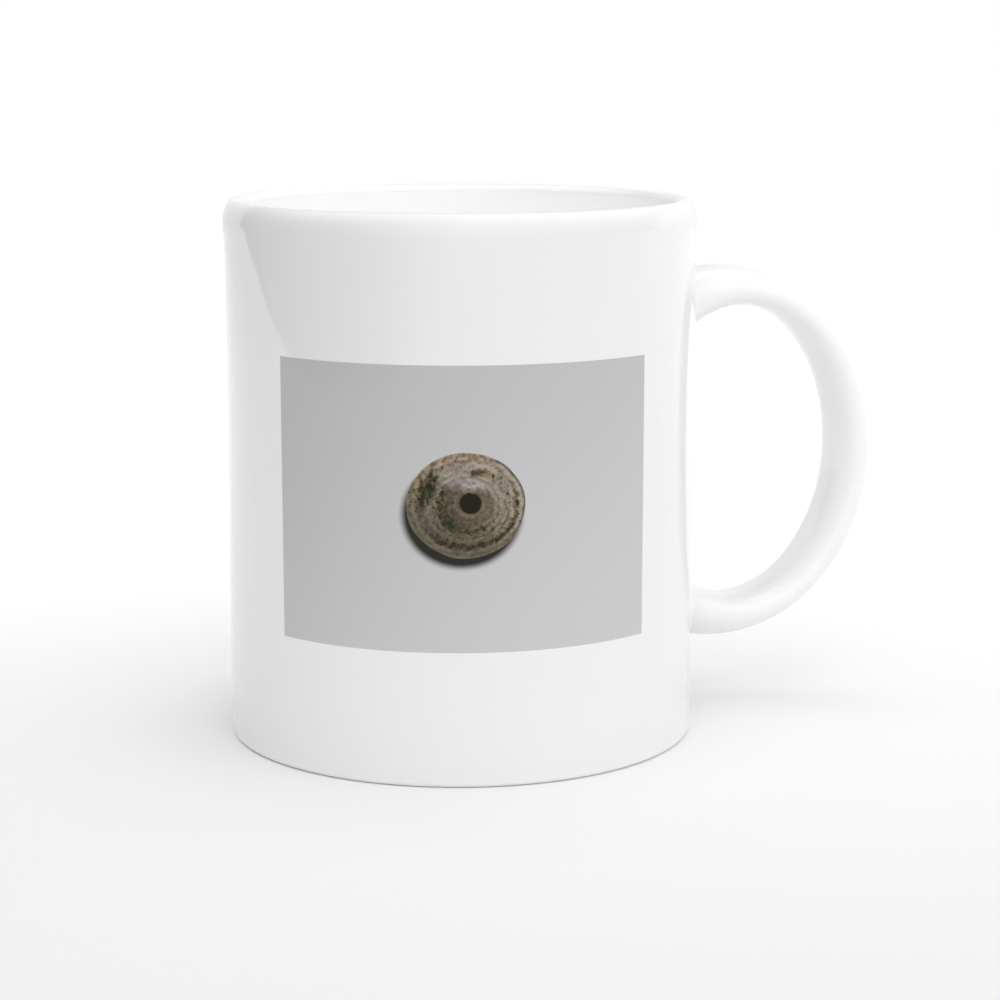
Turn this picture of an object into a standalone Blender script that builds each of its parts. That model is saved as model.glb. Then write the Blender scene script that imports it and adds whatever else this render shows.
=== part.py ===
"""A straight-sided glazed ceramic mug with a loop handle, fired as one piece.

Metres, +Z up. The origin is the centre of the flat underside, on the body's axis.
The handle points along +X. The printed panel is only colour: its middle is 107 degrees
round the wall from the handle, past -Y.
"""

import math

import bmesh
import bpy
from mathutils import Vector

# Body: a straight cylinder, open at the top, turned about Z.
BODY_RADIUS = 0.041
BODY_HEIGHT = 0.094
WALL = 0.0035
FLOOR_THICKNESS = 0.006
HEEL_RADIUS = 0.0010
INNER_CORNER_RADIUS = 0.007
LIP_OUTER_WIDTH = 0.0018
LIP_OUTER_HEIGHT = 0.0040
LIP_INNER_HEIGHT = 0.0013
BODY_SIDES = 96

# Handle: the space between two loops in the XZ plane. Each loop is a little over half an
# ellipse, and its tip is the point furthest from the body's axis.
HANDLE_MIDDLE = 0.0469
OUTER_TIP = 0.0787
OUTER_HALF_WIDTH = 0.0300
OUTER_HALF_HEIGHT = 0.0343
INNER_TIP = 0.07185
INNER_HALF_WIDTH = 0.0196
INNER_HALF_HEIGHT = 0.02655
HANDLE_HALF_BREADTH = 0.00675
CREST_SHIFT = 0.14
JOINT_FLARE = 0.0012
JOINT_REACH = 0.18
ROOT_DEPTH = 0.002
HANDLE_RINGS = 49
HANDLE_SIDES = 20

GLAZE_COLOUR = (0.86, 0.86, 0.86, 1.0)
GLAZE_ROUGHNESS = 0.08
GLAZE_COAT = 0.5


def clear_scene():
    """Removes the objects that the file opened with."""
    for stray in list(bpy.data.objects):
        bpy.data.objects.remove(stray, do_unlink=True)


def new_collection(name):
    collection = bpy.data.collections.new(name)
    bpy.context.scene.collection.children.link(collection)
    return collection


def glaze_material():
    """White gloss glaze over a pale fired body."""
    material = bpy.data.materials.new("white_glaze")
    material.use_nodes = True
    shader = material.node_tree.nodes["Principled BSDF"]
    shader.inputs["Base Color"].default_value = GLAZE_COLOUR
    shader.inputs["Roughness"].default_value = GLAZE_ROUGHNESS
    shader.inputs["Metallic"].default_value = 0.0
    shader.inputs["Coat Weight"].default_value = GLAZE_COAT
    return material


def arc(centre, half_width, half_height, start, end, steps):
    """Points on part of an ellipse in the XZ plane, from start to end in degrees."""
    points = []
    for step in range(steps + 1):
        angle = math.radians(start + (end - start) * step / steps)
        x = centre[0] + half_width * math.cos(angle)
        z = centre[1] + half_height * math.sin(angle)
        points.append((x, 0.0, z))
    return points


def body_outline():
    """The wall's section: out along the inner floor, up, over the lip, down and in below."""
    inner_radius = BODY_RADIUS - WALL
    crown_radius = BODY_RADIUS - LIP_OUTER_WIDTH
    corner_centre = (inner_radius - INNER_CORNER_RADIUS, FLOOR_THICKNESS + INNER_CORNER_RADIUS)
    inner_lip_centre = (crown_radius, BODY_HEIGHT - LIP_INNER_HEIGHT)
    outer_lip_centre = (crown_radius, BODY_HEIGHT - LIP_OUTER_HEIGHT)
    heel_centre = (BODY_RADIUS - HEEL_RADIUS, HEEL_RADIUS)
    outline = [(0.0, 0.0, FLOOR_THICKNESS)]
    outline += arc(corner_centre, INNER_CORNER_RADIUS, INNER_CORNER_RADIUS, -90, 0, 6)
    outline += arc(inner_lip_centre, crown_radius - inner_radius, LIP_INNER_HEIGHT, 180, 90, 4)
    outline += arc(outer_lip_centre, LIP_OUTER_WIDTH, LIP_OUTER_HEIGHT, 90, 0, 5)[1:]
    outline += arc(heel_centre, HEEL_RADIUS, HEEL_RADIUS, 0, -90, 3)
    outline.append((0.0, 0.0, 0.0))
    return outline


def turned_body(collection):
    """The hollow body: its section turned a full circle about Z."""
    outline = body_outline()
    mesh = bpy.data.meshes.new("mug")
    mesh.from_pydata(outline, [(i, i + 1) for i in range(len(outline) - 1)], [])
    body = bpy.data.objects.new("mug", mesh)
    collection.objects.link(body)
    turn = body.modifiers.new("Turn", "SCREW")
    turn.axis = "Z"
    turn.angle = math.tau
    turn.steps = BODY_SIDES
    turn.render_steps = BODY_SIDES
    turn.use_merge_vertices = True
    turn.merge_threshold = 0.00001
    turn.use_smooth_shade = True
    return body


def loop_point(tip, half_width, half_height, share):
    """A point on a loop: share runs from -1, in the wall below, through the tip to 1, in the wall above."""
    root_x = BODY_RADIUS - ROOT_DEPTH
    angle = share * math.acos(1 - (tip - root_x) / half_width)
    x = tip - half_width * (1 - math.cos(angle))
    z = HANDLE_MIDDLE + half_height * math.sin(angle)
    return Vector((x, 0.0, z))


def handle_ring(share):
    """One oval section of the handle, broadest a little nearer its inner side."""
    outer = loop_point(OUTER_TIP, OUTER_HALF_WIDTH, OUTER_HALF_HEIGHT, share)
    inner = loop_point(INNER_TIP, INNER_HALF_WIDTH, INNER_HALF_HEIGHT, share)
    middle = (outer + inner) / 2
    reach = (outer - inner) / 2
    near_joint = max(0.0, (abs(share) - 1 + JOINT_REACH) / JOINT_REACH)
    half_breadth = HANDLE_HALF_BREADTH + JOINT_FLARE * near_joint**2
    ring = []
    for side in range(HANDLE_SIDES):
        angle = math.tau * side / HANDLE_SIDES
        along = math.cos(angle) - CREST_SHIFT * math.sin(angle) ** 2
        across = Vector((0.0, half_breadth * math.sin(angle), 0.0))
        ring.append(middle + along * reach + across)
    return ring


def loop_handle(collection):
    """The handle as a closed solid, lofted through its sections, with both ends inside the wall."""
    loft = bmesh.new()
    rings = []
    for step in range(HANDLE_RINGS):
        share = 2 * step / (HANDLE_RINGS - 1) - 1
        rings.append([loft.verts.new(point) for point in handle_ring(share)])
    for first, second in zip(rings, rings[1:]):
        for side in range(HANDLE_SIDES):
            after = (side + 1) % HANDLE_SIDES
            loft.faces.new((first[side], first[after], second[after], second[side]))
    loft.faces.new(rings[0])
    loft.faces.new(rings[-1])
    bmesh.ops.recalc_face_normals(loft, faces=loft.faces)
    mesh = bpy.data.meshes.new("handle")
    loft.to_mesh(mesh)
    loft.free()
    mesh.shade_smooth()
    handle = bpy.data.objects.new("handle", mesh)
    handle.hide_render = True
    handle.display_type = "WIRE"
    collection.objects.link(handle)
    return handle


def fuse(body, handle):
    """Joins the handle to the body, as slip and firing do."""
    union = body.modifiers.new("Handle", "BOOLEAN")
    union.operation = "UNION"
    union.solver = "EXACT"
    union.object = handle


def main():
    clear_scene()
    parts = new_collection("mug")
    joined_shapes = new_collection("joined_shapes")
    body = turned_body(parts)
    handle = loop_handle(joined_shapes)
    fuse(body, handle)
    glaze = glaze_material()
    body.data.materials.append(glaze)
    handle.data.materials.append(glaze)


main()
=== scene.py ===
"""Looks for the ceramic mug: fine mesh, glaze, printed panel, table, studio light and camera.

Metres, +Z up. The body's axis is Z and the handle points along +X. The printed panel is
wrapped on the wall past -Y, 107 degrees round from the handle to the panel's middle.
"""

import math

import bmesh
import bpy
from mathutils import Matrix, Vector


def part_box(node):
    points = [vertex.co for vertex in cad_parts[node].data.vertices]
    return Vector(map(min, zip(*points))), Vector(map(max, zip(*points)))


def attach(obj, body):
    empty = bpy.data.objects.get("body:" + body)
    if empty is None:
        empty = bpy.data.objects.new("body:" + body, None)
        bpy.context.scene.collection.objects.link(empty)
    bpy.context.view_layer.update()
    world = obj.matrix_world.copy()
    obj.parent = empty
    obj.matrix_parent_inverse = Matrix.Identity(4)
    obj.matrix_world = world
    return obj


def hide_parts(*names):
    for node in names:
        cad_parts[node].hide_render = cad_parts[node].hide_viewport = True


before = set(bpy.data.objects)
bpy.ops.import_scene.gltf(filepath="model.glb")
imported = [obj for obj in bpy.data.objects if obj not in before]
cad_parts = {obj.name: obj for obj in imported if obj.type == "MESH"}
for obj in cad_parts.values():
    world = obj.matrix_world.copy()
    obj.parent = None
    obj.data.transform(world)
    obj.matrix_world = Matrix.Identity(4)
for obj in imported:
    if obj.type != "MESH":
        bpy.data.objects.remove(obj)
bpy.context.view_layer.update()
low_corner, high_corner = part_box("mug")

MM = 0.001

# Body, from the frame: the -X side of the box is the wall, the top is the lip.
BODY_RADIUS = -low_corner.x
BODY_HEIGHT = high_corner.z
WALL = 3.5 * MM
INNER_RADIUS = BODY_RADIUS - WALL
FLOOR_THICKNESS = 6 * MM
INNER_CORNER_RADIUS = 7 * MM
LIP_OUTER_WIDTH = 1.8 * MM
LIP_OUTER_HEIGHT = 4.0 * MM
LIP_INNER_HEIGHT = 1.3 * MM
HEEL_RADIUS = 1.0 * MM
FOOT_WIDTH = 4.0 * MM
FOOT_RELIEF = 0.6 * MM
FOOT_EDGE = 0.25 * MM
BODY_SIDES = 192
CORNER_SEGMENTS = 12
LIP_SEGMENTS = 10
HEEL_SEGMENTS = 6
FOOT_SEGMENTS = 3
WELD = 1e-6

# A rounding that took up a whole edge would leave two vertices in one place.
ALMOST_WHOLE = 0.999

# Printed panel: a rectangle wrapped on the wall. Its middle is this many of the body's
# sides round from the handle, towards -Y and past it.
PANEL_TURN_SIDES = 57
PANEL_HALF_SIDES = 25
PANEL_BOTTOM = 22.9 * MM
PANEL_TOP = 70.0 * MM
SIDE_ANGLE = math.tau / BODY_SIDES
PANEL_TURN = -PANEL_TURN_SIDES * SIDE_ANGLE

# Each end of the handle takes up a patch of the wall, this many faces across and high.
PATCH_ACROSS = 16
PATCH_HIGH = 12
PATCH_ROW = 1.5 * MM
ROWS_BETWEEN_PATCHES = 24
LOWER_PATCH_BOTTOM = PANEL_BOTTOM - 8 * PATCH_ROW
UPPER_PATCH_BOTTOM = PANEL_TOP - 3 * PATCH_ROW
PATCH_HEIGHT = PATCH_HIGH * PATCH_ROW

# Handle: the space between two loops in the XZ plane, each a little over half an ellipse.
# A loop's tip is its point furthest from the body's axis.
HANDLE_MIDDLE = 46.9 * MM
OUTER_TIP = high_corner.x
OUTER_HALF_WIDTH = 30.0 * MM
OUTER_HALF_HEIGHT = 34.3 * MM
INNER_TIP = OUTER_TIP - 6.85 * MM
INNER_HALF_WIDTH = 19.6 * MM
INNER_HALF_HEIGHT = 26.55 * MM
HANDLE_HALF_BREADTH = 6.75 * MM
CREST_SHIFT = 0.14
JOINT_FLARE = 1.2 * MM
JOINT_REACH = 0.18
ROOT_X = BODY_RADIUS - 2 * MM
FILLET_REACH = 2.2 * MM
FILLET_RINGS = 8
SPREAD_RINGS = 4
HANDLE_RINGS = 110
BISECTIONS = 40

# Places in the mesh's list of materials, after the coated glaze, which comes first.
PRINT_SLOT = 1
CLAY_SLOT = 2
PLAIN_SLOT = 3

# The map that the materials are baked through. The printed panel has a field of its own
# along the map's lower edge, as this share of the map's width.
BAKE_MAP = "OFBake"
PANEL_FIELD = 0.70
MAP_MARGIN = 0.008
ISLAND_MARGIN = 0.004
PROJECTION_ANGLE = math.radians(66)
REST_FIELD_BOTTOM = 0.51

# A face counts as being on the wall or on the foot when its middle is this near to it.
NEAR_WALL = 0.1 * MM
NEAR_FOOT = 0.02 * MM
FACING_DOWN = -0.99


# ---------------------------------------------------------------- mesh of the mug


def polyline(mesh, points):
    """A chain of vertices in the XZ plane, joined by edges."""
    chain = [mesh.verts.new((x, 0.0, z)) for x, z in points]
    for first, second in zip(chain, chain[1:]):
        mesh.edges.new((first, second))


def vert_at(mesh, x, z):
    """The vertex nearest to a place in the XZ plane."""
    return min(mesh.verts, key=lambda vert: (vert.co - Vector((x, 0.0, z))).length)


def edge_between(first, second):
    """The edge that joins two vertices."""
    return next(edge for edge in first.link_edges if edge.other_vert(first) is second)


def round_corner(mesh, x, z, radius, segments):
    """Rounds one corner of the section."""
    bmesh.ops.bevel(
        mesh,
        geom=[vert_at(mesh, x, z)],
        offset=radius,
        affect="VERTICES",
        segments=segments,
        profile=0.5,
        material=-1,
    )


def divide(mesh, high, low, parts):
    """Divides the outer wall's edge between two heights into equal parts."""
    edge = edge_between(vert_at(mesh, BODY_RADIUS, high), vert_at(mesh, BODY_RADIUS, low))
    bmesh.ops.subdivide_edges(mesh, edges=[edge], cuts=parts - 1)


def wall_section(mesh):
    """The section of the wall, from the middle of the inner floor to the middle of the underside."""
    crown_radius = BODY_RADIUS - LIP_OUTER_WIDTH
    foot_inner = BODY_RADIUS - HEEL_RADIUS - FOOT_WIDTH
    relief_radius = foot_inner - FOOT_RELIEF
    upper_patch_top = UPPER_PATCH_BOTTOM + PATCH_HEIGHT
    lower_patch_top = LOWER_PATCH_BOTTOM + PATCH_HEIGHT
    polyline(
        mesh,
        (
            (0.0, FLOOR_THICKNESS),
            (INNER_RADIUS, FLOOR_THICKNESS),
            (INNER_RADIUS, BODY_HEIGHT),
            (crown_radius, BODY_HEIGHT),
            (BODY_RADIUS, BODY_HEIGHT),
            (BODY_RADIUS, upper_patch_top),
            (BODY_RADIUS, UPPER_PATCH_BOTTOM),
            (BODY_RADIUS, lower_patch_top),
            (BODY_RADIUS, LOWER_PATCH_BOTTOM),
            (BODY_RADIUS, 0.0),
            (foot_inner, 0.0),
            (relief_radius, FOOT_RELIEF),
            (0.0, FOOT_RELIEF),
        ),
    )
    divide(mesh, upper_patch_top, UPPER_PATCH_BOTTOM, PATCH_HIGH)
    divide(mesh, UPPER_PATCH_BOTTOM, lower_patch_top, ROWS_BETWEEN_PATCHES)
    divide(mesh, lower_patch_top, LOWER_PATCH_BOTTOM, PATCH_HIGH)
    lip_inner_width = crown_radius - INNER_RADIUS
    round_corner(mesh, INNER_RADIUS, FLOOR_THICKNESS, INNER_CORNER_RADIUS, CORNER_SEGMENTS)
    round_corner(mesh, INNER_RADIUS, BODY_HEIGHT, ALMOST_WHOLE * lip_inner_width, LIP_SEGMENTS)
    round_corner(mesh, BODY_RADIUS, BODY_HEIGHT, ALMOST_WHOLE * LIP_OUTER_WIDTH, LIP_SEGMENTS)
    round_corner(mesh, BODY_RADIUS, 0.0, HEEL_RADIUS, HEEL_SEGMENTS)
    round_corner(mesh, foot_inner, 0.0, FOOT_EDGE, FOOT_SEGMENTS)
    round_corner(mesh, relief_radius, FOOT_RELIEF, FOOT_EDGE, FOOT_SEGMENTS)
    stretch_lip(mesh, crown_radius, -lip_inner_width, LIP_INNER_HEIGHT)
    stretch_lip(mesh, crown_radius, LIP_OUTER_WIDTH, LIP_OUTER_HEIGHT)


def stretch_lip(mesh, crown_radius, width, height):
    """Makes one side of the round lip a quarter ellipse of this height, below the crown.

    The width is positive on the outer side and negative on the inner side.
    """
    side = math.copysign(1.0, width)
    rounded = [
        vert
        for vert in mesh.verts
        if side * (vert.co.x - crown_radius) > 0 and vert.co.z > BODY_HEIGHT - abs(width) - WELD
    ]
    bmesh.ops.scale(
        mesh,
        verts=rounded,
        vec=(1.0, 1.0, height / abs(width)),
        space=Matrix.Translation((0.0, 0.0, -BODY_HEIGHT)),
    )


def turned_body():
    """The hollow body as a mesh, turned about Z from its section."""
    mesh = bmesh.new()
    wall_section(mesh)
    bmesh.ops.spin(
        mesh,
        geom=mesh.verts[:] + mesh.edges[:],
        axis=(0.0, 0.0, 1.0),
        cent=(0.0, 0.0, 0.0),
        angle=math.tau,
        steps=BODY_SIDES,
        use_merge=True,
    )
    bmesh.ops.remove_doubles(mesh, verts=mesh.verts, dist=WELD)
    bmesh.ops.recalc_face_normals(mesh, faces=mesh.faces)
    return mesh


def cut_patch(mesh, bottom):
    """Opens the wall where one end of the handle goes, and returns the hole's edge.

    The edge starts in the middle of the higher side and turns towards +Y.
    """
    half_angle = math.pi * PATCH_ACROSS / BODY_SIDES
    faces = []
    for face in mesh.faces:
        middle = face.calc_center_median()
        outside = middle.xy.length > BODY_RADIUS - WALL / 2
        across = abs(math.atan2(middle.y, middle.x)) < half_angle
        if outside and across and bottom < middle.z < bottom + PATCH_HEIGHT:
            faces.append(face)
    inside = {vert for face in faces for vert in face.verts}
    bmesh.ops.delete(mesh, geom=faces, context="FACES")
    rim = [vert for vert in inside if vert.is_valid]
    middle_z = bottom + PATCH_HEIGHT / 2
    half_across = BODY_RADIUS * math.sin(half_angle)

    def turn(vert):
        return math.atan2(vert.co.y / half_across, (vert.co.z - middle_z) / (PATCH_HEIGHT / 2)) % math.tau

    return sorted(rim, key=turn)


def loop_point(tip, half_width, half_height, share):
    """A point on a loop of the handle. Share runs from -1, in the wall below, to 1, in the wall above."""
    angle = share * math.acos(1 - (tip - ROOT_X) / half_width)
    x = tip - half_width * (1 - math.cos(angle))
    z = HANDLE_MIDDLE + half_height * math.sin(angle)
    return Vector((x, 0.0, z))


def handle_point(share, angle):
    """A point on the handle: angle goes round its oval section, from the outer side towards +Y."""
    outer = loop_point(OUTER_TIP, OUTER_HALF_WIDTH, OUTER_HALF_HEIGHT, share)
    inner = loop_point(INNER_TIP, INNER_HALF_WIDTH, INNER_HALF_HEIGHT, share)
    near_joint = max(0.0, (abs(share) - 1 + JOINT_REACH) / JOINT_REACH)
    half_breadth = HANDLE_HALF_BREADTH + JOINT_FLARE * near_joint**2
    along = math.cos(angle) - CREST_SHIFT * math.sin(angle) ** 2
    across = Vector((0.0, half_breadth * math.sin(angle), 0.0))
    return (outer + inner) / 2 + along * (outer - inner) / 2 + across


def section_angles():
    """Angles round the handle's section, one for each vertex on a patch's edge."""
    quarter = math.pi / 2
    counts = (PATCH_ACROSS, PATCH_HIGH, PATCH_ACROSS, PATCH_HIGH)
    angles = []
    for side, count in enumerate(counts):
        start = (side - 0.5) * quarter
        angles += [start + quarter * step / count for step in range(count)]
    half = PATCH_ACROSS // 2
    return angles[half:] + angles[:half]


def bisected(near, far, holds):
    """The furthest share from near towards far at which a condition still holds."""
    for _ in range(BISECTIONS):
        middle = (near + far) / 2
        if holds(middle):
            near = middle
        else:
            far = middle
    return near


def share_at_wall(angle, end):
    """Where the handle's line at this angle meets the wall: end is 1 above or -1 below."""

    def outside_wall(share):
        return handle_point(end * share, angle).xy.length > BODY_RADIUS

    return end * bisected(0.5, 1.0, outside_wall)


def share_away(angle, wall_share, reach):
    """The share at which the handle's line has gone this far from the wall."""
    start = handle_point(wall_share, angle)

    def beyond_reach(share):
        return (handle_point(math.copysign(share, wall_share), angle) - start).length > reach

    return math.copysign(bisected(0.0, abs(wall_share), beyond_reach), wall_share)


def unrolled(point):
    """Where a point on the wall lies when the wall is unrolled flat: along the wall, and up."""
    return Vector((BODY_RADIUS * math.atan2(point.y, point.x), point.z))


def on_wall(flat):
    """The point on the wall for a place on the unrolled wall."""
    angle = flat[0] / BODY_RADIUS
    return Vector((BODY_RADIUS * math.cos(angle), BODY_RADIUS * math.sin(angle), flat[1]))


class Joint:
    """One end of the handle: where it meets the wall, and the fillet round it.

    The fillet starts on the wall, bends round the handle's foot and ends where the handle's own
    lines take leave of it.
    """

    def __init__(self, end, angles):
        shares = [share_at_wall(angle, end) for angle in angles]
        self.foot = [handle_point(share, angle) for share, angle in zip(shares, angles)]
        self.leave_shares = [
            share_away(angle, share, FILLET_REACH) for share, angle in zip(shares, angles)
        ]
        self.leave = [
            handle_point(share, angle) for share, angle in zip(self.leave_shares, angles)
        ]
        flat = [unrolled(point) for point in self.foot]
        centre = sum(flat, Vector((0.0, 0.0))) / len(flat)
        self.start = []
        for index, place in enumerate(flat):
            along = flat[(index + 1) % len(flat)] - flat[index - 1]
            away = Vector((along.y, -along.x)).normalized()
            if away.dot(place - centre) < 0:
                away = -away
            self.start.append(on_wall(place + FILLET_REACH * away))

    def rings(self, rim):
        """Rings of places from the patch's edge, over the wall and up the fillet, to the handle."""
        rings = []
        for step in range(1, SPREAD_RINGS + 1):
            part = step / SPREAD_RINGS
            rings.append(
                [
                    on_wall(unrolled(edge).lerp(unrolled(start), part))
                    for edge, start in zip(rim, self.start)
                ]
            )
        for step in range(1, FILLET_RINGS + 1):
            part = step / FILLET_RINGS
            rings.append(
                [
                    (1 - part) ** 2 * start + 2 * part * (1 - part) * foot + part**2 * leave
                    for start, foot, leave in zip(self.start, self.foot, self.leave)
                ]
            )
        return rings


def grow_ring(mesh, ring, places):
    """Extrudes a closed ring of vertices and moves the new ring to its places."""
    edges = [edge_between(ring[index - 1], vert) for index, vert in enumerate(ring)]
    made = bmesh.ops.extrude_edge_only(mesh, edges=edges)["geom"]
    new_verts = {item for item in made if isinstance(item, bmesh.types.BMVert)}
    grown = []
    for vert, place in zip(ring, places):
        partner = next(
            edge.other_vert(vert) for edge in vert.link_edges if edge.other_vert(vert) in new_verts
        )
        partner.co = place
        grown.append(partner)
    return grown


def add_handle(mesh):
    """Grows the handle out of the wall above, and welds it into the wall below."""
    upper_rim = cut_patch(mesh, UPPER_PATCH_BOTTOM)
    lower_rim = cut_patch(mesh, LOWER_PATCH_BOTTOM)
    # Below, the handle's outer side is the lower one, so that rim starts half a turn on.
    half = len(lower_rim) // 2
    lower_rim = (lower_rim[half:] + lower_rim[:half])[::-1]
    lower_rim = lower_rim[-1:] + lower_rim[:-1]
    angles = section_angles()
    upper = Joint(1, angles)
    lower = Joint(-1, angles)
    places = upper.rings([vert.co for vert in upper_rim])
    for step in range(1, HANDLE_RINGS):
        part = step / HANDLE_RINGS
        places.append(
            [
                handle_point(start + part * (finish - start), angle)
                for start, finish, angle in zip(upper.leave_shares, lower.leave_shares, angles)
            ]
        )
    places += lower.rings([vert.co for vert in lower_rim])[::-1]
    places.append([vert.co.copy() for vert in lower_rim])
    ring = upper_rim
    for ring_places in places:
        ring = grow_ring(mesh, ring, ring_places)
    bmesh.ops.remove_doubles(mesh, verts=ring + lower_rim, dist=WELD)


def on_panel(face):
    """Whether a face of the outer wall lies inside the printed panel."""
    middle = face.calc_center_median()
    near_wall = abs(middle.xy.length - BODY_RADIUS) < NEAR_WALL
    across = abs(math.atan2(middle.y, middle.x) - PANEL_TURN) < PANEL_HALF_SIDES * SIDE_ANGLE
    return near_wall and across and PANEL_BOTTOM < middle.z < PANEL_TOP


def on_foot(face):
    """Whether a face lies on the flat ring that the mug stands on."""
    return face.calc_center_median().z < NEAR_FOOT and face.normal.z < FACING_DOWN


def uncoated(face):
    """Whether a face lies on the handle, or within the lip on the mug's inner wall or floor."""
    middle = face.calc_center_median()
    out = middle.xy.length
    within_lip = out < BODY_RADIUS - LIP_OUTER_WIDTH and middle.z > FLOOR_THICKNESS / 2
    return within_lip or out > BODY_RADIUS + COATING_REACH


def share_out_finishes(mesh):
    """Gives each face its material's number. The faces left at 0 have the coated glaze."""
    for face in mesh.faces:
        if on_panel(face):
            face.material_index = PRINT_SLOT
        elif on_foot(face):
            face.material_index = CLAY_SLOT
        elif uncoated(face):
            face.material_index = PLAIN_SLOT


def project_bake_map(piece):
    """Unwraps the whole piece by projection into the bake map."""
    piece.data.uv_layers.new(name=BAKE_MAP)
    bpy.context.view_layer.objects.active = piece
    piece.select_set(True)
    bpy.ops.object.mode_set(mode="EDIT")
    bpy.ops.mesh.select_all(action="SELECT")
    bpy.ops.uv.smart_project(angle_limit=PROJECTION_ANGLE, island_margin=ISLAND_MARGIN)
    bpy.ops.object.mode_set(mode="OBJECT")


def enlarge_panel(piece):
    """Gives the printed panel an undistorted field of its own along the map's lower edge."""
    mesh = bmesh.new()
    mesh.from_mesh(piece.data)
    layer = mesh.loops.layers.uv[BAKE_MAP]
    half_width = PANEL_HALF_SIDES * SIDE_ANGLE * BODY_RADIUS
    scale = PANEL_FIELD / (2 * half_width)
    for face in mesh.faces:
        for corner in face.loops:
            if face.material_index == PRINT_SLOT:
                place = corner.vert.co
                right = (math.atan2(place.y, place.x) - PANEL_TURN) * BODY_RADIUS + half_width
                up = place.z - PANEL_BOTTOM
                corner[layer].uv = (MAP_MARGIN + scale * right, MAP_MARGIN + scale * up)
            else:
                across, up = corner[layer].uv
                corner[layer].uv = (across, 1 - (1 - REST_FIELD_BOTTOM) * (1 - up))
    mesh.to_mesh(piece.data)
    mesh.free()


def build_mug():
    """The whole mug as one object, with its materials and its bake map."""
    mesh = turned_body()
    add_handle(mesh)
    bmesh.ops.recalc_face_normals(mesh, faces=mesh.faces)
    share_out_finishes(mesh)
    data = bpy.data.meshes.new("glazed_mug")
    mesh.to_mesh(data)
    mesh.free()
    data.shade_smooth()
    piece = bpy.data.objects.new("glazed_mug", data)
    bpy.context.scene.collection.objects.link(piece)
    for material in (coated_glaze(), printed_panel(), bare_clay(), plain_glaze()):
        data.materials.append(material)
    project_bake_map(piece)
    enlarge_panel(piece)
    return piece


# ---------------------------------------------------------------- finishes


def linear(red, green, blue):
    """A colour chosen on the 0 to 255 display scale, as the shader's linear values."""
    channels = [(value / 255) ** 2.2 for value in (red, green, blue)]
    return (*channels, 1.0)


# Glaze, by where it is. The lip's crown has a painted shade, darker than the inside's white,
# and the heel has the same white.
OUTSIDE_DULL = (0.83, 0.83, 0.83, 1)
OUTSIDE_WHITE = (0.845, 0.845, 0.847, 1)
# painted light: the handle's glaze is set lighter than the wall's
HANDLE_PAINTED_LIGHT_WHITE = (0.90, 0.90, 0.90, 1)
# painted light: the inside is set far whiter than the outside, against the shade within the cup
INSIDE_PAINTED_LIGHT_WHITE = (0.985, 0.985, 0.985, 1)
# painted shade on the lip's crown; the heel has the same white
LIP_SHADE_AND_HEEL_WHITE = (0.875, 0.872, 0.863, 1)
LIP_SHADE_BOTTOM = BODY_HEIGHT - 1.8 * MM
LIP_SHADE_TOP = BODY_HEIGHT - 0.3 * MM
HEEL_WHITE_TOP = 1.5 * MM
HEEL_WHITE_BOTTOM = 0.2 * MM

# The clear coating covers the body's outside, and goes this far out from the wall where the
# handle begins. The handle's lighter white, painted light, takes over within a reach of its own.
COATING_REACH = 0.8 * MM
COATING_WEIGHT = 0.6
COATING_ROUGHNESS = 0.04
HANDLE_PAINTED_LIGHT_REACH = 2.0 * MM

# Surfaces. A pair of roughnesses is the smoothest and the roughest, and a length is the height
# of the finest bumps.
GLAZE_ROUGHNESS = (0.035, 0.065)
GLAZE_WAVES = 0.003 * MM
PRINT_SPECULAR = 0.2
GREY_TOP_LEFT = (0.512, 0.512, 0.514, 1)
GREY_BOTTOM_RIGHT = (0.57, 0.57, 0.57, 1)
GREY_GRAIN = (0.45, 0.45, 0.45, 1)
GREY_GRAIN_SHARE = 0.05
CLAY_GRAIN = 0.03 * MM
CLAY_ROUGHNESS = (0.78, 0.95)
CLAY_DARK = (0.70, 0.66, 0.59, 1)
CLAY_LIGHT = (0.80, 0.77, 0.71, 1)
CLAY_STAIN = (0.52, 0.49, 0.44, 1)


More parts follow.
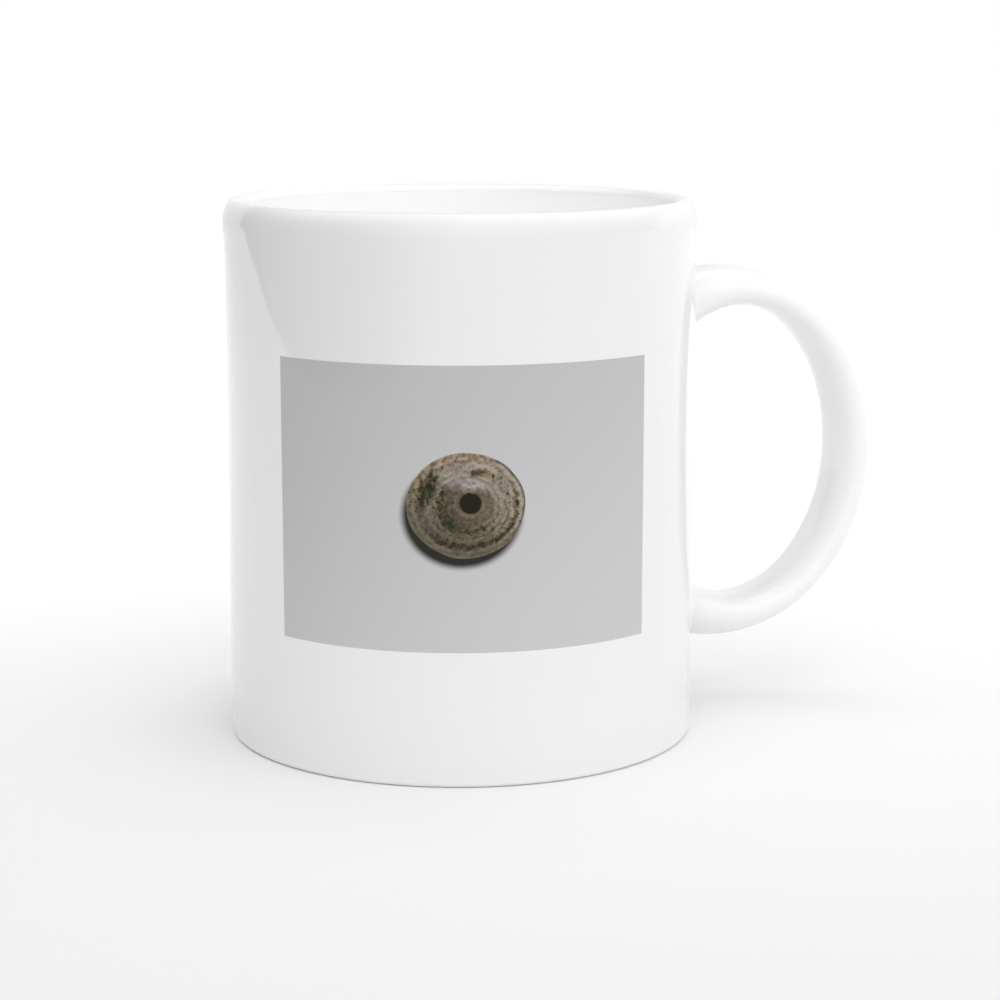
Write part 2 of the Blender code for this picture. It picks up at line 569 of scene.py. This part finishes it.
class NodeWork:
    """Short calls for the nodes of a material or of the studio's light."""

    def __init__(self, owner):
        owner.use_nodes = True
        self.tree = owner.node_tree
        self.nodes = self.tree.nodes

    def feed(self, socket, value):
        """Links another node's output to a socket, or sets the socket to a plain value."""
        if isinstance(value, bpy.types.NodeSocket):
            self.tree.links.new(value, socket)
        else:
            socket.default_value = value

    def calc(self, operation, *values):
        """One of the Math node's operations."""
        node = self.nodes.new("ShaderNodeMath")
        node.operation = operation
        for socket, value in zip(node.inputs, values):
            self.feed(socket, value)
        return node.outputs["Value"]

    def total(self, *values):
        """Adds them all up."""
        result = values[0]
        for value in values[1:]:
            result = self.calc("ADD", result, value)
        return result

    def product(self, *values):
        """Multiplies them all."""
        result = values[0]
        for value in values[1:]:
            result = self.calc("MULTIPLY", result, value)
        return result

    def split(self, vector):
        """A vector's three parts."""
        node = self.nodes.new("ShaderNodeSeparateXYZ")
        self.feed(node.inputs["Vector"], vector)
        return node.outputs["X"], node.outputs["Y"], node.outputs["Z"]

    def join(self, x, y):
        """The flat vector (x, y, 0)."""
        node = self.nodes.new("ShaderNodeCombineXYZ")
        for socket, value in zip(node.inputs, (x, y)):
            self.feed(socket, value)
        return node.outputs["Vector"]

    def mapped(self, vector, location=(0, 0, 0), rotation=(0, 0, 0), scale=(1, 1, 1)):
        """Scaled first, then turned, then moved."""
        node = self.nodes.new("ShaderNodeMapping")
        self.feed(node.inputs["Vector"], vector)
        node.inputs["Location"].default_value = location
        node.inputs["Rotation"].default_value = rotation
        node.inputs["Scale"].default_value = scale
        return node.outputs["Vector"]

    def length(self, vector):
        """A vector's length."""
        node = self.nodes.new("ShaderNodeVectorMath")
        node.operation = "LENGTH"
        self.feed(node.inputs[0], vector)
        return node.outputs["Value"]

    def dot(self, vector, fixed):
        """How far a vector reaches along a fixed direction."""
        node = self.nodes.new("ShaderNodeVectorMath")
        node.operation = "DOT_PRODUCT"
        self.feed(node.inputs[0], vector)
        node.inputs[1].default_value = fixed
        return node.outputs["Value"]

    def noise(self, vector, scale, detail, roughness=0.5):
        """Cloudy noise from 0 to 1: a larger scale makes smaller clouds, and detail adds finer ones."""
        node = self.nodes.new("ShaderNodeTexNoise")
        self.feed(node.inputs["Vector"], vector)
        node.inputs["Scale"].default_value = scale
        node.inputs["Detail"].default_value = detail
        node.inputs["Roughness"].default_value = roughness
        return node.outputs["Fac"]

    def between(self, value, low, high, at_low=0.0, at_high=1.0, smooth=True):
        """Goes from one value to another as the input goes from low to high, and stays there."""
        node = self.nodes.new("ShaderNodeMapRange")
        node.interpolation_type = "SMOOTHSTEP" if smooth else "LINEAR"
        self.feed(node.inputs["Value"], value)
        node.inputs["From Min"].default_value = low
        node.inputs["From Max"].default_value = high
        node.inputs["To Min"].default_value = at_low
        node.inputs["To Max"].default_value = at_high
        return node.outputs["Result"]

    def blend(self, amount, first, second):
        """The first colour where the amount is 0, the second where it is 1."""
        node = self.nodes.new("ShaderNodeMix")
        node.data_type = "RGBA"
        colours = [socket for socket in node.inputs if socket.type == "RGBA"]
        self.feed(node.inputs[0], amount)
        self.feed(colours[0], first)
        self.feed(colours[1], second)
        return next(socket for socket in node.outputs if socket.type == "RGBA")


class Finish(NodeWork):
    """A material in the making."""

    def __init__(self, name):
        self.material = bpy.data.materials.new(name)
        super().__init__(self.material)
        self.shader = self.nodes["Principled BSDF"]
        self.place = self.nodes.new("ShaderNodeTexCoord").outputs["Object"]

    def bump(self, height, distance):
        """Shades the surface as if it were raised by the height times the distance."""
        node = self.nodes.new("ShaderNodeBump")
        node.inputs["Distance"].default_value = distance
        self.feed(node.inputs["Height"], height)
        self.feed(self.shader.inputs["Normal"], node.outputs["Normal"])


def glaze_surface(finish):
    """The glaze's own roughness and its faint waves, the same on the white and on the print."""
    film = finish.noise(finish.place, scale=160.0, detail=3.0)
    roughness = finish.between(film, 0.3, 0.7, *GLAZE_ROUGHNESS)
    finish.feed(finish.shader.inputs["Roughness"], roughness)
    waves = finish.noise(finish.place, scale=55.0, detail=1.0)
    peel = finish.noise(finish.place, scale=420.0, detail=1.0)
    height = finish.total(finish.product(waves, 4.0), peel)
    finish.bump(height, GLAZE_WAVES)


def white_glaze(finish, body_colour):
    """White gloss glaze: this body colour, a lighter handle (painted light), a painted shade on the lip's
    crown, and its white on the heel.
    """
    x, y, height = finish.split(finish.place)
    out = finish.length(finish.join(x, y))
    # painted light: the handle's lighter white takes over past the wall
    handle = finish.between(out, BODY_RADIUS, BODY_RADIUS + HANDLE_PAINTED_LIGHT_REACH)
    colour = finish.blend(handle, body_colour, HANDLE_PAINTED_LIGHT_WHITE)
    # painted shade: the lip's crown is set darker than the inside white, and the heel takes the same white
    lip = finish.between(height, LIP_SHADE_BOTTOM, LIP_SHADE_TOP)
    heel = finish.between(height, HEEL_WHITE_TOP, HEEL_WHITE_BOTTOM)
    colour = finish.blend(finish.calc("MAXIMUM", lip, heel), colour, LIP_SHADE_AND_HEEL_WHITE)
    finish.feed(finish.shader.inputs["Base Color"], colour)
    glaze_surface(finish)


def plain_glaze():
    """The glaze on the handle and inside the mug, where painted light makes the inside far whiter."""
    finish = Finish("plain_glaze")
    white_glaze(finish, INSIDE_PAINTED_LIGHT_WHITE)
    return finish.material


def coated_glaze():
    """The outer wall's glaze, a little duller in clouds, under the clear coating of the print."""
    finish = Finish("coated_glaze")
    clouds = finish.noise(finish.place, scale=38.0, detail=3.0)
    white_glaze(finish, finish.blend(clouds, OUTSIDE_DULL, OUTSIDE_WHITE))
    finish.shader.inputs["Coat Weight"].default_value = COATING_WEIGHT
    finish.shader.inputs["Coat Roughness"].default_value = COATING_ROUGHNESS
    return finish.material


def bare_clay():
    """The unglazed ring that the mug stands on: dry, pale fired clay with a fine grain."""
    finish = Finish("bare_clay")
    grain = finish.noise(finish.place, scale=2600.0, detail=4.0, roughness=0.7)
    stain = finish.noise(finish.place, scale=120.0, detail=3.0)
    clay = finish.blend(grain, CLAY_DARK, CLAY_LIGHT)
    worn = finish.blend(finish.between(stain, 0.5, 0.75, 0.0, 0.35), clay, CLAY_STAIN)
    finish.feed(finish.shader.inputs["Base Color"], worn)
    finish.feed(finish.shader.inputs["Roughness"], finish.between(grain, 0.2, 0.8, *CLAY_ROUGHNESS))
    finish.bump(grain, CLAY_GRAIN)
    return finish.material


def printed_panel():
    """The transfer print: a grey ground with a picture of a spindle whorl, under the gloss."""
    finish = Finish("printed_panel")
    turned = finish.mapped(finish.place, rotation=(0, 0, -PANEL_TURN))
    x, y, z = finish.split(turned)
    right = finish.product(finish.calc("ARCTAN2", y, x), BODY_RADIUS / MM)
    up = finish.product(finish.calc("SUBTRACT", z, (PANEL_TOP + PANEL_BOTTOM) / 2), 1 / MM)
    flat = finish.join(right, up)
    ground = grey_ground(finish, right, up, flat)
    whorl = Whorl(finish, flat)
    shaded = finish.blend(whorl.shadow(), ground, whorl.SHADOW)
    finish.feed(finish.shader.inputs["Base Color"], finish.blend(whorl.inside, shaded, whorl.colour()))
    finish.shader.inputs["Specular IOR Level"].default_value = PRINT_SPECULAR
    glaze_surface(finish)
    return finish.material


def grey_ground(finish, right, up, flat):
    """Studio grey, a little darker towards the panel's top left, with the print's fine grain."""
    slope = finish.total(finish.product(right, 0.35), finish.product(up, -1.0))
    ground = finish.blend(finish.between(slope, -30, 30), GREY_TOP_LEFT, GREY_BOTTOM_RIGHT)
    grain = finish.between(finish.noise(flat, scale=5.0, detail=2.0), 0.3, 0.7, 0.0, GREY_GRAIN_SHARE)
    return finish.blend(grain, ground, GREY_GRAIN)


class Whorl:
    """The printed picture: an old disc whorl of mottled glass, seen nearly from the front.

    Lengths on the panel are in millimetres, and places are measured from the panel's middle.
    Radii on the disc are shares of its own radius. A clock face round the hole names directions.
    A pair of colours is the darker and the lighter tone of one mottled material.
    """

    MIDDLE = (0.3, 0.85)
    HALF_WIDTH = 9.75
    HALF_HEIGHT = 8.65
    HOLE = (1.0, 1.2)
    HOLE_RADIUS = 1.75
    SHADOW_SHIFT = (-0.7, -1.6)
    SHADOW = linear(44, 42, 39)
    TAUPE = linear(96, 88, 72), linear(158, 146, 128)
    PINK = linear(122, 112, 104), linear(162, 152, 146)
    CREAM = linear(122, 106, 88), linear(168, 154, 138)
    RUST = linear(118, 90, 70), linear(168, 138, 118)
    OCHRE = linear(140, 112, 78)
    PALE_LINE = linear(176, 166, 150)
    DARK_LINE = linear(80, 70, 50)
    SCRAPED = linear(160, 150, 132)
    BROWN_CRUST = linear(86, 74, 46)
    OLIVE_CRUST = linear(84, 82, 54)
    GREEN_CRUST = linear(12, 22, 8), linear(50, 50, 30)
    SHADE = linear(46, 46, 30)
    SHADE_NEAR_HOLE = linear(50, 44, 30)
    SHEEN = linear(186, 184, 186)
    CHIP_LIP = linear(182, 168, 152)
    CHIP = linear(34, 34, 14), linear(84, 70, 42)
    CHIP_FLOOR = linear(150, 122, 84)
    BRIGHT_EDGE = linear(184, 174, 158)
    DARK_EDGE = linear(66, 60, 54)
    LOW_EDGE = linear(104, 92, 72)
    WORN_HOLE_EDGE = linear(136, 112, 80)
    HOLE_EDGE_SHADE = linear(92, 76, 58)
    HOLE_COLOUR = linear(30, 24, 4)

    # Arcs where crust gathers, or is missing: radius, half width, first and last hour, how much.
    CRUST = (
        (0.78, 0.17, 9.2, 10.3, 1.3),
        (0.46, 0.24, 7.4, 10.2, 1.3),
        (0.81, 0.10, 4.9, 7.2, 1.7),
        (0.52, 0.16, 5.2, 7.2, 1.1),
        (0.84, 0.09, 2.9, 4.2, 1.1),
        (0.67, 0.10, 0.8, 1.2, 1.2),
        (0.55, 0.40, 11.0, 13.2, -0.5),
        (0.92, 0.12, 5.0, 9.0, -0.6),
    )

    # Arcs where the crust has worn off the rings: radius, half width, first and last hour.
    SCRAPES = (
        (0.61, 0.03, 5.4, 8.8),
        (0.70, 0.03, 6.2, 9.0),
        (0.90, 0.03, 4.6, 8.6),
        (0.74, 0.03, 1.0, 4.6),
        (0.55, 0.03, 0.2, 3.0),
    )

    def __init__(self, finish, flat):
        self.finish = finish
        self.flat = flat
        self.disc = self.around(self.MIDDLE, self.HALF_WIDTH, self.HALF_HEIGHT)
        unevenness = finish.noise(self.disc, scale=1.3, detail=1.0)
        wobble = finish.between(unevenness, 0.3, 0.7, -0.015, 0.015, smooth=False)
        self.radius = finish.total(finish.length(self.disc), wobble)
        self.inside = finish.between(self.radius, 1.008, 0.986)
        self.rings = self.centred_on_hole()
        self.ring_radius = finish.length(self.rings)
        self.clouds = finish.noise(flat, scale=0.45, detail=2.0)
        self.mottle = finish.noise(flat, scale=1.1, detail=3.0, roughness=0.55)
        self.specks = finish.noise(flat, scale=1.2, detail=3.0, roughness=0.6)
        elsewhere = finish.mapped(flat, location=(31.0, 17.0, 0))
        self.crumbs = finish.noise(elsewhere, scale=1.5, detail=3.0, roughness=0.62)

    def around(self, middle, half_width, half_height, turn=0.0):
        """Coordinates that are 1 long on an ellipse round a point of the panel.

        The ellipse is turned clockwise by this many radians.
        """
        moved = self.finish.mapped(self.flat, location=(-middle[0], -middle[1], 0))
        turned = self.finish.mapped(moved, rotation=(0, 0, turn))
        return self.finish.mapped(turned, scale=(1 / half_width, 1 / half_height, 1))

    def centred_on_hole(self):
        """The disc's coordinates, shifted so that the rings near the hole go round the hole."""
        finish = self.finish
        x, y, _ = finish.split(self.disc)
        inwards = finish.calc("SUBTRACT", 1.0, self.radius)
        shift_x = (self.HOLE[0] - self.MIDDLE[0]) / self.HALF_WIDTH
        shift_y = (self.HOLE[1] - self.MIDDLE[1]) / self.HALF_HEIGHT
        return finish.join(
            finish.calc("SUBTRACT", x, finish.product(inwards, shift_x)),
            finish.calc("SUBTRACT", y, finish.product(inwards, shift_y)),
        )

    def band(self, radius, middle, half_width):
        """A soft ring, where the radius is near its middle one: 1 there, and 0 past its edges."""
        gap = self.finish.calc("ABSOLUTE", self.finish.calc("SUBTRACT", radius, middle))
        return self.finish.between(gap, half_width, 0.0)

    def ring(self, middle, half_width):
        """A soft ring round the hole."""
        return self.band(self.ring_radius, middle, half_width)

    def sector(self, first_hour, last_hour, soft_hours=0.8):
        """The part of the disc between two hours on the clock face, with soft sides."""
        finish = self.finish
        middle = math.radians(15 * (first_hour + last_hour))
        half = math.radians(15 * (last_hour - first_hour))
        soft = math.radians(30 * soft_hours)
        x, y, _ = finish.split(self.rings)
        along = finish.total(finish.product(x, math.sin(middle)), finish.product(y, math.cos(middle)))
        cosine = finish.calc("DIVIDE", along, finish.calc("MAXIMUM", self.ring_radius, 0.01))
        return finish.between(cosine, math.cos(min(half + soft, math.pi)), math.cos(half))

    def arc(self, radius, half_width, first_hour, last_hour):
        """The part of a soft ring between two hours on the clock face."""
        return self.finish.product(self.ring(radius, half_width), self.sector(first_hour, last_hour))

    def spot(self, middle, half_width, half_height, turn=0.0):
        """An oval spot on the disc with a ragged, soft edge."""
        finish = self.finish
        size = finish.length(self.around(middle, half_width, half_height, turn))
        ragged = finish.total(size, finish.between(self.specks, 0.3, 0.7, -0.4, 0.4))
        return finish.between(ragged, 1.4, 0.6)

    def shadow(self):
        """The soft dark crescent that the disc throws on the ground, down and to the left."""
        finish = self.finish
        middle = (self.MIDDLE[0] + self.SHADOW_SHIFT[0], self.MIDDLE[1] + self.SHADOW_SHIFT[1])
        size = finish.length(self.around(middle, self.HALF_WIDTH, self.HALF_HEIGHT))
        return finish.between(size, 1.09, 0.92)

    def colour(self):
        """The whole disc, each layer laid over the last."""
        colour = self.glass()
        colour = self.ringed(colour)
        colour = self.speckled(colour)
        colour = self.scraped(colour)
        colour = self.shaded(colour)
        colour = self.weathered(colour)
        return self.pierced(colour)

    def over(self, colour, tone, mask, strength):
        """Lays a tone over the colour where the mask is, at this strength."""
        return self.finish.blend(self.finish.product(mask, strength), colour, tone)

    def mottled(self, tones, contrast=0.16):
        """A colour that wanders between a darker and a lighter tone, in fine and broad patches."""
        finish = self.finish
        both = finish.total(finish.product(self.mottle, 0.75), finish.product(self.clouds, 0.25))
        return finish.blend(finish.between(both, 0.5 - contrast, 0.5 + contrast), *tones)

    def glass(self):
        """The glass itself: taupe and ochre, pinker above, creamy at the rim, rusty upper left."""
        finish = self.finish
        _, height, _ = finish.split(self.disc)
        colour = self.mottled(self.TAUPE, 0.22)
        ochre = finish.between(self.crumbs, 0.50, 0.66)
        colour = self.over(colour, self.OCHRE, ochre, 0.6)
        above = finish.product(finish.between(height, -0.3, 0.45), self.ring(0.5, 0.48))
        colour = self.over(colour, self.mottled(self.PINK, 0.34), above, 0.9)
        rim = finish.between(self.radius, 0.84, 0.95)
        colour = self.over(colour, self.mottled(self.CREAM), rim, 0.75)
        russet = finish.product(self.arc(0.90, 0.10, 9.8, 12.2), finish.between(self.crumbs, 0.36, 0.56))
        return self.over(colour, self.mottled(self.RUST), russet, 0.7)

    def ringed(self, colour):
        """Thin pale and dark lines round the hole, broken and a little wavy."""
        finish = self.finish
        wavy = finish.total(self.ring_radius, finish.between(self.clouds, 0.3, 0.7, -0.012, 0.012))
        ripple = finish.calc("SINE", finish.product(wavy, 58.0))
        broken = finish.between(self.clouds, 0.40, 0.60, 0.1, 1.0)
        lines = finish.product(finish.between(ripple, 0.3, 1.0), broken)
        colour = self.over(colour, self.PALE_LINE, lines, 0.45)
        troughs = finish.product(finish.between(ripple, -0.3, -1.0), finish.between(self.specks, 0.42, 0.56))
        return self.over(colour, self.DARK_LINE, troughs, 0.45)

    def scraped(self, colour):
        """A few longer pale arcs, where the crust has worn off the edges of the rings."""
        finish = self.finish
        arcs = finish.total(*[self.arc(*scrape) for scrape in self.SCRAPES])
        worn = finish.product(arcs, finish.between(self.mottle, 0.40, 0.56, 0.15, 1.0))
        return self.over(colour, self.SCRAPED, worn, 0.55)

    def speckled(self, colour):
        """Dark green, olive and brown specks of crust, gathered in broken rings and one clump."""
        finish = self.finish
        clump = self.spot((-5.7, 3.0), 0.9, 2.5, turn=0.43)
        crowd = finish.product(clump, 1.4)
        for *arc, amount in self.CRUST:
            crowd = finish.total(crowd, finish.product(self.arc(*arc), amount))
        brown_level = finish.total(self.crumbs, finish.product(crowd, 0.13))
        brown = finish.between(brown_level, 0.55, 0.68)
        colour = self.over(colour, self.BROWN_CRUST, brown, 0.75)
        level = finish.total(self.specks, finish.product(crowd, 0.115))
        olive = finish.between(level, 0.54, 0.66)
        dark = finish.between(level, 0.62, 0.74)
        colour = self.over(colour, self.OLIVE_CRUST, olive, 0.75)
        green = finish.blend(finish.between(self.crumbs, 0.42, 0.58), *self.GREEN_CRUST)
        return self.over(colour, green, dark, 0.95)

    def shaded(self, colour):
        """The disc is a low cone lit from the upper right: duller below, to the left and near the hole."""
        finish = self.finish
        x, y, _ = finish.split(self.disc)
        along = finish.total(finish.product(x, 0.4), finish.product(y, 0.9))
        dim = finish.between(along, 0.45, -0.70)
        colour = self.over(colour, self.SHADE, dim, 0.58)
        inner = finish.product(finish.between(self.ring_radius, 0.50, 0.34), self.sector(1.6, 11.0, 1.5))
        return self.over(colour, self.SHADE_NEAR_HOLE, inner, 0.45)

    def weathered(self, colour):
        """A pale sheen beside the hole, a chip with its lip and floor, and the lines of the edge."""
        finish = self.finish
        sheen = finish.product(self.arc(0.36, 0.18, 11.8, 12.9), finish.between(self.mottle, 0.36, 0.64))
        colour = self.over(colour, self.SHEEN, sheen, 0.6)
        lip = self.spot((3.0, 7.0), 2.3, 0.8, turn=0.15)
        colour = self.over(colour, self.CHIP_LIP, lip, 0.55)
        chip = self.spot((2.5, 6.2), 1.5, 0.6, turn=-0.1)
        colour = self.over(colour, self.mottled(self.CHIP), chip, 0.9)
        floor = self.spot((3.5, 5.8), 0.8, 0.45, turn=0.4)
        colour = self.over(colour, self.CHIP_FLOOR, floor, 0.7)
        bright = finish.product(self.band(self.radius, 0.93, 0.035), self.sector(1.2, 3.8, 0.4))
        colour = self.over(colour, self.BRIGHT_EDGE, bright, 0.4)
        edge = finish.product(finish.between(self.radius, 0.955, 0.99), self.sector(1.3, 4.0, 0.4))
        colour = self.over(colour, self.DARK_EDGE, edge, 0.75)
        low_edge = finish.product(finish.between(self.radius, 0.90, 1.0), self.sector(4.0, 8.6, 0.6))
        return self.over(colour, self.LOW_EDGE, low_edge, 0.45)

    def pierced(self, colour):
        """The hole for the spindle, in shade, with a worn paler edge below it."""
        finish = self.finish
        size = finish.length(self.around(self.HOLE, self.HOLE_RADIUS, self.HOLE_RADIUS))
        worn = finish.product(finish.between(size, 1.6, 1.1), self.sector(2.5, 7.5))
        colour = self.over(colour, self.WORN_HOLE_EDGE, worn, 0.35)
        shade = finish.product(finish.between(size, 1.6, 1.0), self.sector(-2.0, 2.5))
        colour = self.over(colour, self.HOLE_EDGE_SHADE, shade, 0.65)
        ragged = finish.total(size, finish.between(self.mottle, 0.3, 0.7, -0.05, 0.05))
        return finish.blend(finish.between(ragged, 1.10, 0.92), colour, self.HOLE_COLOUR)


mug = build_mug()
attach(mug, "root")
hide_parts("mug")


# ---------------------------------------------------------------- stage

# The studio is turned about the mug: its +Y runs from the camera past the mug, its +X to the right.
STUDIO_TURN = math.radians(-18.575)
STUDIO = Matrix.Rotation(STUDIO_TURN, 3, "Z")

# The table's corners, anticlockwise; its left edge runs away to the left of the mug. Its white
# grows a little brighter behind the mug, from the near depth to the far one: painted light,
# which also pales the mug's shadow behind it.
TABLE = ((0.60, -1.66), (4.0, -3.0), (4.0, 1.1), (-1.41, 1.1))
TABLE_ROUGHNESS = 0.9
TABLE_NEAR_WHITE = (0.9, 0.9, 0.9, 1)
TABLE_FAR_WHITE = (0.97, 0.97, 0.97, 1)
TABLE_NEAR_DEPTH = -0.15
TABLE_FAR_DEPTH = 0.5

# Soft glows round the room: degrees to the right of the camera, degrees up, tightness, strength.
GLOWS = (
    (0, 45, 6, 1.05),
    (60, 45, 6, 0.8),
    (120, 45, 6, 0.6),
    (-105, 60, 8, 0.75),
    (-60, 45, 6, 0.55),
    (0, 90, 6, 0.25),
    (0, 5, 5, 0.85),
    (45, 5, 5, 0.4),
    (90, 5, 5, 0.5),
    (135, 5, 5, 0.5),
    (180, 5, 5, 0.3),
    (-135, 5, 5, 0.3),
)

# The lit backdrop behind the table, as slopes seen from the mug: so far to the right, or up,
# for each metre ahead. Each edge is soft by so much to either side.
BACKDROP_LEFT = -1.2
BACKDROP_RIGHT = 3.0
BACKDROP_TOP = 0.6
BACKDROP_LEFT_SOFT = 0.03
BACKDROP_RIGHT_SOFT = 0.1
BACKDROP_TOP_SOFT = 0.2
BACKDROP_STRENGTH = 0.5
LEAST_AHEAD = 0.001

# Softboxes that face straight down: name, place, width, depth, spread in degrees, brightness.
SOFTBOXES = (
    ("overhead_strip", (0.15, -0.3, 1.2), 0.3, 1.4, 180, 0.6),
    ("mouth_spot", (0, 0, 0.17), 0.05, 0.05, 30, 0.9),
    ("back_wash", (1.1, 0.65, 0.7), 3.0, 1.1, 60, 0.28),
)

# Camera: the sensor's width and the lens in millimetres, and its place in metres.
SENSOR_WIDTH = 36.0
LENS = 90.66
CAMERA_PLACE = (0.006955, -0.438756, 0.122914)
LOOKING_DOWN = math.radians(10.63)


def pale_table():
    """A plain table top with a clean left edge, beyond which the room is darker."""
    mesh = bmesh.new()
    mesh.faces.new([mesh.verts.new(STUDIO @ Vector((x, y, 0))) for x, y in TABLE])
    data = bpy.data.meshes.new("table")
    mesh.to_mesh(data)
    mesh.free()
    table = bpy.data.objects.new("table", data)
    bpy.context.scene.collection.objects.link(table)
    finish = Finish("table_white")
    finish.shader.inputs["Roughness"].default_value = TABLE_ROUGHNESS
    finish.shader.inputs["Specular IOR Level"].default_value = 0.0
    # painted light: the table's white brightens away from the camera
    depth = finish.dot(finish.place, STUDIO @ Vector((0, 1, 0)))
    painted_light_behind = finish.between(depth, TABLE_NEAR_DEPTH, TABLE_FAR_DEPTH, smooth=False)
    white = finish.blend(painted_light_behind, TABLE_NEAR_WHITE, TABLE_FAR_WHITE)
    finish.feed(finish.shader.inputs["Base Color"], white)
    data.materials.append(finish.material)


def soft_step(work, value, edge, soft):
    """Rises from 0 to 1 across an edge, or falls to 0 past it where the softness is negative."""
    return work.between(value, edge - soft, edge + soft)


def backdrop(work, direction):
    """1 on the lit backdrop behind the table, as seen from the mug, and 0 beside it and above."""
    ahead = work.calc("MAXIMUM", work.dot(direction, STUDIO @ Vector((0, 1, 0))), LEAST_AHEAD)
    right = work.calc("DIVIDE", work.dot(direction, STUDIO @ Vector((1, 0, 0))), ahead)
    up = work.calc("DIVIDE", work.dot(direction, Vector((0, 0, 1))), ahead)
    past_left = soft_step(work, right, BACKDROP_LEFT, BACKDROP_LEFT_SOFT)
    before_right = soft_step(work, right, BACKDROP_RIGHT, -BACKDROP_RIGHT_SOFT)
    return work.product(past_left, before_right, soft_step(work, up, BACKDROP_TOP, -BACKDROP_TOP_SOFT))


def light_the_room():
    """Soft glows all round and the lit backdrop. The camera itself sees plain white."""
    world = bpy.data.worlds.new("studio")
    bpy.context.scene.world = world
    work = NodeWork(world)
    direction = work.nodes.new("ShaderNodeTexCoord").outputs["Generated"]
    glows = []
    for right, up, tightness, strength in GLOWS:
        right = math.radians(right)
        up = math.radians(up)
        middle = Vector((math.cos(up) * math.sin(right), -math.cos(up) * math.cos(right), math.sin(up)))
        facing = work.calc("MAXIMUM", work.dot(direction, STUDIO @ middle), 0.0)
        glows.append(work.product(work.calc("POWER", facing, tightness), strength))
    glows.append(work.product(backdrop(work, direction), BACKDROP_STRENGTH))
    seen = work.nodes.new("ShaderNodeLightPath").outputs["Is Camera Ray"]
    background = work.nodes["Background"]
    background.inputs["Color"].default_value = (1, 1, 1, 1)
    work.feed(background.inputs["Strength"], work.calc("MAXIMUM", work.total(*glows), seen))


def softbox(name, place, width, depth, spread, brightness):
    """A rectangular lamp of this brightness all over, facing straight down."""
    lamp = bpy.data.lights.new(name, "AREA")
    lamp.shape = "RECTANGLE"
    lamp.size = width
    lamp.size_y = depth
    lamp.spread = math.radians(spread)
    lamp.energy = brightness * math.pi * width * depth
    holder = bpy.data.objects.new(name, lamp)
    bpy.context.scene.collection.objects.link(holder)
    holder.location = STUDIO @ Vector(place)
    holder.rotation_euler = (0, 0, STUDIO_TURN)


def set_camera():
    """The camera, in front of the mug and a little above its lip, looking slightly down."""
    data = bpy.data.cameras.new("camera")
    data.sensor_width = SENSOR_WIDTH
    data.lens = LENS
    camera = bpy.data.objects.new("camera", data)
    bpy.context.scene.collection.objects.link(camera)
    camera.location = STUDIO @ Vector(CAMERA_PLACE)
    camera.rotation_euler = (math.radians(90) - LOOKING_DOWN, 0, STUDIO_TURN)
    bpy.context.scene.camera = camera


pale_table()
light_the_room()
for box in SOFTBOXES:
    softbox(*box)
set_camera()
bpy.context.scene.view_settings.view_transform = "Standard"
